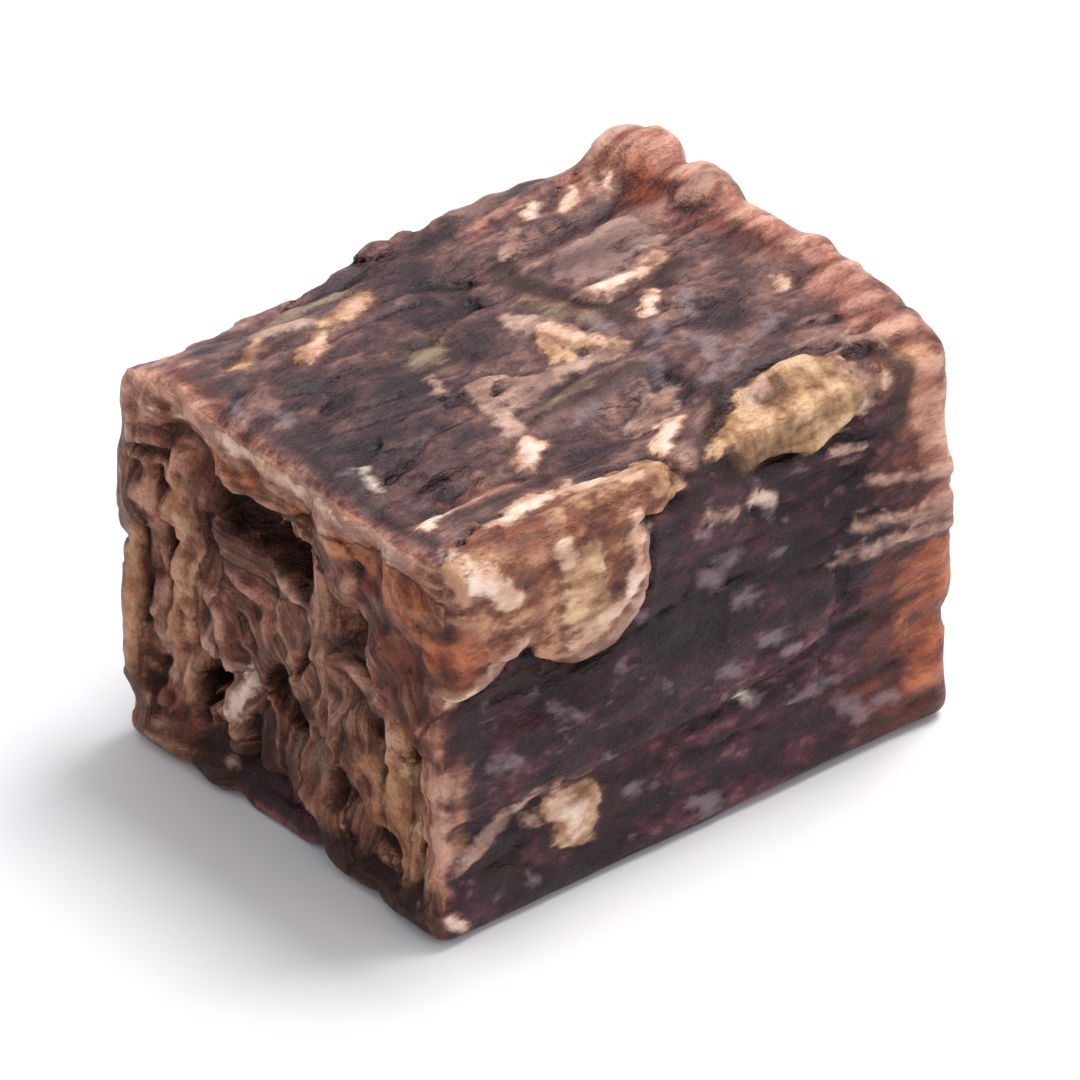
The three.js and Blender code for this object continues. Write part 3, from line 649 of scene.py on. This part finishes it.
def relief(p):
    """Height of all the fine relief over the solid's surface."""
    here = Points(p)
    cut = here.cut
    plain = 1 - 0.85 * smooth(golden_depth(here), -0.1, 0.1)
    on_side = plain * pressed_relief(here)[0] + fragment_relief(here)
    height = (1 - cut) * on_side + cut * cut_relief(here)[0]
    # The cube stands on its underside, so that is nearly flat
    under = smooth(p[:, 2], 0.9, 0.3)
    return np.where(under > 0, (1 - 0.75 * under) * height - 0.02 * under, height)


def carve(distance, low):
    """The distance with the relief's height taken off it near the surface."""
    band = np.nonzero(np.abs(distance) < BAND)
    p = low + np.stack(band, axis=1) * STEP
    carved = distance.copy()
    carved[band] -= relief(p)
    return carved


def spread(start, allowed):
    """All the cells of allowed that can be reached from start."""
    reached = start & allowed
    count = 0
    while reached.sum() != count:
        count = reached.sum()
        for _ in range(STEPS_TO_A_COUNT):
            grown = reached.copy()
            for axis in range(3):
                ahead = np.moveaxis(grown, axis, 0)
                behind = np.moveaxis(reached, axis, 0)
                ahead[1:] |= behind[:-1]
                ahead[:-1] |= behind[1:]
            reached = grown & allowed
    return reached


def one_solid(distance):
    """Drops loose crumbs and fills closed bubbles."""
    inside = distance < 0
    start = np.zeros_like(inside)
    middle = tuple(size // 2 for size in inside.shape)
    start[middle] = True
    core = spread(start, inside)
    start[middle] = False
    start[0, 0, 0] = True
    outside = spread(start, ~core)
    distance = np.where(inside & ~core, SPECK, distance)
    return np.where(~outside & ~core, -SPECK, distance)


def surface(distance, low):
    """Points and four-sided faces of the surface where the distance is 0, one point to a cell."""
    cells_along = tuple(size - 1 for size in distance.shape)
    offsets = list(product((0, 1), repeat=3))
    inside = distance < 0
    count = np.zeros(cells_along, int)
    for i, j, k in offsets:
        count += inside[i : cells_along[0] + i, j : cells_along[1] + j, k : cells_along[2] + k]
    active = np.nonzero((count > 0) & (count < 8))
    number = np.full(cells_along, -1)
    number[active] = np.arange(len(active[0]))
    base = np.stack(active, axis=1)
    corner = {offset: distance[tuple((base + offset).T)] for offset in offsets}
    total = np.zeros((len(base), 3))
    found = np.zeros(len(base))
    for axis in range(3):
        for start in (offset for offset in offsets if offset[axis] == 0):
            end = tuple(start[i] + (i == axis) for i in range(3))
            crosses = (corner[start] < 0) != (corner[end] < 0)
            share = corner[start][crosses] / (corner[start][crosses] - corner[end][crosses])
            at = np.tile(np.array(start, float), (len(share), 1))
            at[:, axis] += share
            total[crosses] += at
            found[crosses] += 1
    points = low + (base + total / found[:, None]) * STEP
    faces = []
    for axis in range(3):
        u, v = (axis + 1) % 3, (axis + 2) % 3
        first = np.take(inside, range(distance.shape[axis] - 1), axis)
        second = np.take(inside, range(1, distance.shape[axis]), axis)
        edge = np.stack(np.nonzero(first != second), axis=1)
        leaving = first[tuple(edge.T)]
        ring = []
        for back_u, back_v in ((1, 1), (0, 1), (0, 0), (1, 0)):
            cell = edge.copy()
            cell[:, u] -= back_u
            cell[:, v] -= back_v
            ring.append(number[tuple(cell.T)])
        quad = np.stack(ring, axis=1)
        quad[~leaving] = quad[~leaving][:, ::-1]
        faces.append(quad)
    return points, np.concatenate(faces)


def blur(grid, reach):
    """Mean over a box of this reach in millimetres each way."""
    for axis in range(3):
        steps = max(1, round(reach / STEP[axis]))
        line = np.moveaxis(grid, axis, 0)
        padded = np.concatenate([line[:1]] * (steps + 1) + [line] + [line[-1:]] * steps)
        sums = np.cumsum(padded, axis=0)
        width = 2 * steps + 1
        grid = np.moveaxis((sums[width:] - sums[:-width]) / width, 0, axis)
    return grid


# Fields that the material reads, one value to a point


def surface_fields(p, carved, low):
    here = Points(p)
    s, t, d = here.place
    cut = here.cut
    dry_near = smooth(s + 0.4 * grain(p, 2.5, 1.6, 60), 0.5, -0.3)
    dry_far = smooth(s + 1.6 * grain(p, 2.5, 1.6, 60), 12.6, 16.8)
    capped = np.clip(carved, -1, 1)
    bundle = pressed_relief(here)[1]
    number, along, side = cut_relief(here)[1:]
    golden_along, _, golden_down = golden_place(s, t, d)
    fields = {name: deepest(here, strokes) for name, strokes in STROKES.items()}
    fields |= {
        "cut": cut,
        "rim": np.maximum(dry_near, dry_far),
        "golden": golden_depth(here),
        "golden_low": golden_down - golden_along,
        "lip": lip_depth(here),
        "up": smooth(d, 0.9, 0.3) + 0.5 * smooth(t, 12.0, 12.6) * smooth(d, 0.3, 0.9),
        # crest and hump are above 0 on ridges and below 0 in pits and creases; the material uses them for
        # painted light and painted shade
        "crest": sample(blur(capped, 0.3), low, p),
        "hump": sample(blur(capped, 0.8), low, p),
        "own": np.where(cut > 0.5, np.sin(number * 5.1), bundle),
        "along": along + number * 3.3,
        "side": side,
    }
    return fields


def make_cube_mesh():
    coarse, low = measure(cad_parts["beef_cube"])
    carved = one_solid(carve(refine(coarse), low))
    points, faces = surface(carved, low)
    points[:, 2] = np.maximum(points[:, 2], 0)
    mesh = bpy.data.meshes.new("beef_cube_surface")
    mesh.from_pydata((points * MM).tolist(), [], faces.tolist())
    mesh.update()
    mesh.shade_smooth()
    for name, values in surface_fields(points, carved, low).items():
        attribute = mesh.attributes.new(name, "FLOAT", "POINT")
        attribute.data.foreach_set("value", values.astype(np.float32))
    return mesh


# Materials

# The sockets of a mix node that take and give colours
MIX_A, MIX_B, MIX_RESULT = 6, 7, 2

BUMP_M = 0.00016  # for a height of 1
SUBSURFACE_M = 0.0006  # how far light spreads in the meat


def srgb(red, green, blue):
    """A colour given as 0 to 255, as the shader takes it."""
    parts = [part / 255 for part in (red, green, blue)]
    return (*[part / 12.92 if part <= 0.04045 else ((part + 0.055) / 1.055) ** 2.4 for part in parts], 1.0)


class Nodes:
    """Short ways to write a node tree."""

    def __init__(self, material):
        material.use_nodes = True
        self.tree = material.node_tree
        self.tree.nodes.clear()
        self.place = self.add("ShaderNodeTexCoord").outputs["Object"]

    def add(self, kind, inputs=None, **settings):
        node = self.tree.nodes.new(kind)
        for name, value in settings.items():
            setattr(node, name, value)
        for name, value in (inputs or {}).items():
            if isinstance(value, bpy.types.NodeSocket):
                self.tree.links.new(value, node.inputs[name])
            else:
                node.inputs[name].default_value = value
        return node

    def math(self, operation, a, b):
        return self.add("ShaderNodeMath", {0: a, 1: b}, operation=operation).outputs[0]

    def vector(self, operation, *values):
        return self.add("ShaderNodeVectorMath", dict(enumerate(values)), operation=operation).outputs[0]

    def total(self, *parts):
        """Sum of values, each given alone or with the number that it is multiplied by."""
        whole = 0.0
        for part in parts:
            value, share = part if isinstance(part, tuple) else (part, 1.0)
            node = self.add("ShaderNodeMath", {0: value, 1: share, 2: whole}, operation="MULTIPLY_ADD")
            whole = node.outputs[0]
        return whole

    def step(self, value, low, high, to_low=0.0, to_high=1.0):
        inputs = {"Value": value, "From Min": low, "From Max": high, "To Min": to_low, "To Max": to_high}
        return self.add("ShaderNodeMapRange", inputs, interpolation_type="SMOOTHSTEP").outputs[0]

    def mix(self, share, a, b):
        """Colour a where the share is 0, and b where it is 1."""
        inputs = {"Factor": share, MIX_A: a, MIX_B: b}
        return self.add("ShaderNodeMix", inputs, data_type="RGBA").outputs[MIX_RESULT]

    def field(self, name):
        return self.add("ShaderNodeAttribute", attribute_name=name).outputs["Fac"]

    def noise(self, place, scale, stretch=(1, 1, 1), detail=3.0, roughness=0.55):
        """Noise in cycles to the millimetre, stretched along the axes, from about -0.3 to 0.3."""
        scaled = self.vector("MULTIPLY", place, tuple(scale / (MM * part) for part in stretch))
        inputs = {"Vector": scaled, "Scale": 1.0, "Detail": detail, "Roughness": roughness}
        return self.math("SUBTRACT", self.add("ShaderNodeTexNoise", inputs).outputs["Fac"], 0.5)

    def bend(self, place, scale, reach):
        """The place moved by noise, by up to about a third of the reach in millimetres."""
        scaled = self.vector("MULTIPLY", place, (scale / MM,) * 3)
        noise = self.add("ShaderNodeTexNoise", {"Vector": scaled, "Scale": 1.0, "Detail": 2.0})
        centred = self.vector("SUBTRACT", noise.outputs["Color"], (0.5,) * 3)
        return self.vector("MULTIPLY_ADD", centred, (reach * MM,) * 3, place)

    def ramp(self, value, stops):
        node = self.add("ShaderNodeValToRGB", {"Fac": value})
        elements = node.color_ramp.elements
        while len(elements) < len(stops):
            elements.new(0.5)
        for element, (place, colour) in zip(elements, stops):
            element.position = place
            element.color = srgb(*colour)
        return node.outputs["Color"]

    def shades(self, value, dark, middle, light):
        return self.ramp(value, [(0.32, dark), (0.5, middle), (0.68, light)])


class MeatNodes(Nodes):
    """The meat's node tree, with what its colours and bumps share."""

    def __init__(self, material):
        super().__init__(material)
        self.wide = self.noise(self.place, 0.35, (3, 1, 1))
        self.patch = self.noise(self.place, 1.1, (1.5, 1, 1))
        bent = self.bend(self.place, 0.5, 1.0)
        self.lines = self.noise(bent, 1.6, (4, 1, 1), detail=5)
        self.fibres = self.noise(bent, 6.0, (8, 1, 1))
        self.fine = self.noise(self.place, 4.0, (1.5, 1, 1), detail=4)
        self.grit = self.noise(self.place, 11.0, (2, 1, 1))
        self.crumb = self.noise(self.place, 2.2, detail=5, roughness=0.65)
        strand_place = self.add("ShaderNodeCombineXYZ", {
            "X": self.math("MULTIPLY", self.field("along"), MM),
            "Y": self.math("MULTIPLY", self.field("side"), MM),
        }).outputs[0]
        self.strand_fibres = self.noise(strand_place, 5.0, (7, 1, 1), detail=5, roughness=0.6)
        # The crest field, added into the tones below, paints light on ridges and shade in creases
        self.crest = self.field("crest")
        self.cut = self.field("cut")
        self.fray = self.total((self.fine, 0.6), (self.lines, 0.6))
        # Tone for the stains: their grain, with painted light on ridges and painted shade in creases
        self.stain_and_shade = self.total(0.5, (self.lines, 1.0), (self.crest, 1.5), (self.grit, 0.3))

    def share_of(self, name, low, high, most=1.0):
        """How much the strokes of this name show, with outlines that the noise frays."""
        return self.step(self.total(self.field(name), self.fray), low, high, 0, most)


def pressed_colour(n):
    """Near black plum on the sides, flecked with painted glints, more brown and pink and lighter on the top
    partly as painted sheen, and paler by the cuts.
    """
    plum = n.step(n.total(n.field("plum"), (n.patch, 1.2)), -0.5, 0.5)
    side_tone = n.total(
        0.523, (n.patch, 0.8), (n.lines, 0.4), (n.fine, 0.6), (n.wide, 0.3), (n.crest, 0.8), (plum, -0.115)
    )
    pressed = n.ramp(side_tone, [
        (0.3, (20, 4, 10)),
        (0.5, (43, 14, 24)),
        (0.64, (78, 37, 45)),
        (0.8, (128, 82, 83)),
    ])
    # Lilac specks: painted glints on the dark faces
    speck = n.noise(n.place, 1.7, (1.5, 1, 1), detail=2)
    painted_glint_share = n.step(n.total(speck, (n.fine, 0.4), (plum, -0.08)), 0.12, 0.32, 0, 0.6)
    pressed = n.mix(painted_glint_share, pressed, srgb(134, 110, 114))
    # The top is lighter than the sides, partly its own browner colour and partly painted sheen
    top_tone = n.total(0.57, (n.patch, 0.7), (n.lines, 0.45), (n.fine, 0.5), (n.crest, 1.0), (plum, -0.17))
    top = n.ramp(top_tone, [
        (0.22, (24, 9, 12)),
        (0.38, (50, 29, 36)),
        (0.54, (86, 57, 56)),
        (0.7, (134, 98, 89)),
        (0.84, (174, 140, 128)),
    ])
    pressed = n.mix(n.step(n.total(n.field("up"), (n.patch, 0.6)), 0.2, 0.8), pressed, top)
    dry = n.total(n.field("rim"), (n.wide, 1.2), (n.lines, 0.6))
    rim_tone = n.total(0.48, n.patch, (n.lines, 1.2), (n.crest, 1.5), (n.fine, 0.5))
    rim = n.ramp(rim_tone, [(0.3, (66, 26, 22)), (0.5, (116, 62, 50)), (0.72, (164, 112, 96))])
    return n.mix(n.step(dry, 0.25, 1.0, 0, 0.8), pressed, rim)


def cut_colour(n):
    """Strands of brown, with painted shade near black in the crevices and painted light on the ridges."""
    tone = n.total(
        0.57, (n.crest, 1.2), (n.crumb, 0.5), (n.strand_fibres, 1.3), (n.grit, 0.2), (n.wide, 0.4),
        (n.field("own"), 0.06),
    )
    return n.ramp(tone, [
        (0.1, (22, 7, 3)),
        (0.34, (58, 28, 19)),
        (0.5, (94, 55, 40)),
        (0.66, (128, 82, 61)),
        (0.86, (176, 132, 106)),
    ])


def with_stains(n, colour):
    """The colour with the lip, the soft stains and the dark strokes laid over it; the dark strokes are
    mostly painted shade.
    """
    lip_tone = n.total(0.5, (n.lines, 0.6), (n.crest, 1.2), (n.patch, 0.8), (n.fine, 0.5), (n.grit, 0.2))
    lip = n.shades(lip_tone, (80, 37, 24), (132, 78, 53), (192, 144, 111))
    lip_share = n.step(n.total(n.field("lip"), (n.fine, 0.4)), -0.12, 0.12, 0, 0.95)
    colour = n.mix(lip_share, colour, lip)
    stains = [
        ("ochre", (-0.4, 0.35, 0.9), ((110, 64, 38), (174, 119, 84), (210, 158, 120))),
        ("red", (-0.35, 0.4, 0.85), ((46, 14, 8), (80, 28, 17), (118, 54, 36))),
        ("pink", (-0.3, 0.3, 0.85), ((110, 60, 46), (170, 111, 93), (214, 165, 143))),
        ("orange", (-0.35, 0.3, 0.9), ((88, 34, 14), (140, 68, 36), (190, 112, 70))),
    ]
    for name, outline, shades in stains:
        colour = n.mix(n.share_of(name, *outline), colour, n.shades(n.stain_and_shade, *shades))
    # Dark strokes: mostly painted shade in hollows, gaps and under the lip, and a few dark stains
    return n.mix(n.share_of("dark", -0.25, 0.25, 0.88), colour, srgb(38, 12, 10))


def golden_colour(n):
    ribs = n.noise(n.place, 1.5, (0.9, 3, 3))
    low = n.field("golden_low")
    tone = n.total(0.5, (n.patch, 0.5), (ribs, 0.8), (n.crest, 1.0), (n.fine, 0.5), (low, -0.1))
    return n.shades(tone, (100, 66, 44), (162, 122, 86), (210, 174, 136))


def with_fragments(n, colour):
    """The colour with the fragments and the painted white and lilac glints laid over it, and the share of
    fat.
    """
    grey_share = n.share_of("grey", -0.1, 0.1, 0.75)
    grey_tone = n.total(0.5, n.patch, (n.lines, 0.6))
    colour = n.mix(grey_share, colour, n.shades(grey_tone, (112, 84, 78), (140, 110, 102), (162, 132, 122)))
    golden_share = n.step(n.total(n.field("golden"), (n.fine, 0.7), (n.lines, 0.5)), -0.14, 0.1)
    colour = n.mix(golden_share, colour, golden_colour(n))
    olive = n.shades(n.stain_and_shade, (64, 50, 36), (104, 86, 66), (150, 132, 106))
    colour = n.mix(n.share_of("olive", -0.12, 0.2, 0.8), colour, olive)
    # Painted lilac glints and sheen
    colour = n.mix(n.share_of("painted_lilac_glint", -0.22, 0.2, 0.6), colour, srgb(142, 123, 128))
    pale_share = n.share_of("pale", -0.16, 0.2, 0.85)
    pale_tone = n.total(0.5, n.patch, (n.fine, 0.5))
    colour = n.mix(pale_share, colour, n.shades(pale_tone, (130, 94, 81), (166, 131, 115), (198, 165, 148)))
    # Tan and cream fragments have a darker border, laid under them
    tan_share = n.share_of("tan", -0.1, 0.16)
    tan_tone = n.total(0.5, n.patch, (n.lines, 0.8), (n.fine, 0.4))
    colour = n.mix(n.share_of("tan", -0.26, -0.04, 0.4), colour, srgb(104, 64, 46))
    colour = n.mix(tan_share, colour, n.shades(tan_tone, (124, 84, 60), (174, 132, 97), (216, 180, 142)))
    cream_share = n.share_of("cream", -0.1, 0.18)
    cream_tone = n.total(0.5, n.patch, (n.fine, 0.4))
    colour = n.mix(n.share_of("cream", -0.28, -0.04, 0.45), colour, srgb(132, 86, 66))
    cream = n.shades(cream_tone, (176, 130, 104), (206, 166, 140), (228, 196, 174))
    colour = n.mix(cream_share, colour, cream)
    # Painted white glints
    colour = n.mix(n.share_of("painted_white_glint", -0.2, 0.2, 0.75), colour, srgb(238, 216, 200))
    fat_share = grey_share
    for share in (pale_share, tan_share, cream_share):
        fat_share = n.math("MAXIMUM", fat_share, share)
    return colour, fat_share


def with_painted_shade(n, colour):
    """The colour with painted shade, darker in pits and crevices."""
    small = n.step(n.crest, -0.17, -0.02, 0.32, 1.0)
    large = n.step(n.field("hump"), -0.5, -0.1, 0.35, 1.0)
    return n.mix(n.math("MULTIPLY", small, large), srgb(28, 8, 5), colour)


def meat_bump(n, fat_share):
    """Grain on the pressed faces and fibres along the strands of the cuts, both lower in the fat."""
    height = n.add("ShaderNodeMix", {
        "Factor": n.step(n.cut, 0.35, 0.65),
        "A": n.total((n.lines, 0.6), (n.fibres, 0.7), (n.fine, 0.5), (n.grit, 0.5), (n.crumb, 0.4)),
        "B": n.total((n.strand_fibres, 1.8), (n.crumb, 0.8), (n.fine, 0.5), (n.grit, 0.6)),
    }, data_type="FLOAT").outputs[0]
    smoothed = n.math("MULTIPLY", height, n.step(fat_share, 0, 1, 1, 0.7))
    return n.add("ShaderNodeBump", {"Height": smoothed, "Distance": BUMP_M, "Strength": 1.0}).outputs[0]


def meat_material():
    material = bpy.data.materials.new("dried_beef")
    n = MeatNodes(material)
    cut_share = n.step(n.total(n.cut, (n.crumb, 0.5)), 0.35, 0.65)
    colour = with_stains(n, n.mix(cut_share, pressed_colour(n), cut_colour(n)))
    colour, fat_share = with_fragments(n, colour)
    roughness = n.total(0.4, (n.cut, 0.06), (n.fine, 0.6), (n.crumb, 0.5))
    shader = n.add("ShaderNodeBsdfPrincipled", {
        "Base Color": with_painted_shade(n, colour),
        "Roughness": n.step(roughness, 0.1, 0.7, 0.2, 0.65),
        "Normal": meat_bump(n, fat_share),
        "Specular IOR Level": 0.24,
        "Coat Weight": 0.08,
        "Coat Roughness": 0.25,
        "Subsurface Weight": 0.08,
        "Subsurface Radius": (1.0, 0.35, 0.18),
        "Subsurface Scale": SUBSURFACE_M,
    })
    n.add("ShaderNodeOutputMaterial", {"Surface": shader.outputs[0]})
    return material


def floor_material():
    material = bpy.data.materials.new("white_table")
    n = Nodes(material)
    cloud = n.noise(n.place, 0.02)
    colour = n.ramp(n.total(0.5, cloud), [(0.3, (224, 225, 228)), (0.7, (230, 230, 233))])
    shader = n.add("ShaderNodeBsdfPrincipled", {"Base Color": colour, "Roughness": 0.6})
    n.add("ShaderNodeOutputMaterial", {"Surface": shader.outputs[0]})
    return material


# Objects


def add_object(name, mesh, material):
    piece = bpy.data.objects.new(name, mesh)
    bpy.context.scene.collection.objects.link(piece)
    mesh.materials.append(material)
    return piece


def make_cube():
    piece = add_object("pressed_beef", make_cube_mesh(), meat_material())
    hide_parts("beef_cube")
    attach(piece, "root")
    return piece


def make_floor():
    half_m = 0.6
    mesh = bpy.data.meshes.new("floor")
    corners = [(-half_m, -half_m, 0), (half_m, -half_m, 0), (half_m, half_m, 0), (-half_m, half_m, 0)]
    mesh.from_pydata(corners, [], [(0, 1, 2, 3)])
    add_object("floor", mesh, floor_material())


# Camera and light

CAMERA_AZIMUTH = -40
CAMERA_ELEVATION = 34
CAMERA_DISTANCE_M = 0.7
CAMERA_FIELD_M = 0.0275  # width of the view at the cube
CAMERA_NEAREST_M = 0.01
SENSOR_MM = 36
AIM_M = Vector((0, 0, 0.0056))
LAMP_COLOUR = (1.0, 0.975, 0.955)
SKY_COLOUR = (0.975, 0.965, 1.0, 1.0)
SKY_STRENGTH = 0.76


def toward(azimuth, elevation):
    """A direction from the cube, with angles in degrees."""
    a, e = math.radians(azimuth), math.radians(elevation)
    return Vector((math.sin(a) * math.cos(e), -math.cos(a) * math.cos(e), math.sin(e)))


def look_at(thing, aim):
    thing.rotation_euler = (aim - thing.location).to_track_quat("-Z", "Y").to_euler()


def make_camera():
    camera = bpy.data.objects.new("camera", bpy.data.cameras.new("camera"))
    camera.data.sensor_width = SENSOR_MM
    camera.data.lens = SENSOR_MM * CAMERA_DISTANCE_M / CAMERA_FIELD_M
    camera.data.clip_start = CAMERA_NEAREST_M
    camera.location = AIM_M + CAMERA_DISTANCE_M * toward(CAMERA_AZIMUTH, CAMERA_ELEVATION)
    look_at(camera, AIM_M)
    bpy.context.scene.collection.objects.link(camera)
    bpy.context.scene.camera = camera


def make_softbox(name, azimuth, elevation, distance_m, size_m, power):
    data = bpy.data.lights.new(name, "AREA")
    data.size = size_m
    data.energy = power
    data.color = LAMP_COLOUR
    light = bpy.data.objects.new(name, data)
    light.location = AIM_M + distance_m * toward(azimuth, elevation)
    look_at(light, AIM_M)
    bpy.context.scene.collection.objects.link(light)


def make_light():
    bpy.context.scene.view_settings.view_transform = "Standard"
    world = bpy.data.worlds.new("studio")
    world.use_nodes = True
    background = world.node_tree.nodes["Background"]
    background.inputs["Color"].default_value = SKY_COLOUR
    background.inputs["Strength"].default_value = SKY_STRENGTH
    bpy.context.scene.world = world
    make_softbox("overhead", azimuth=86, elevation=66, distance_m=0.6, size_m=0.3, power=3.7)
    make_softbox("front_fill", azimuth=10, elevation=30, distance_m=0.7, size_m=0.4, power=0.6)


make_camera()
make_light()
make_floor()
make_cube()
bpy.context.view_layer.update()
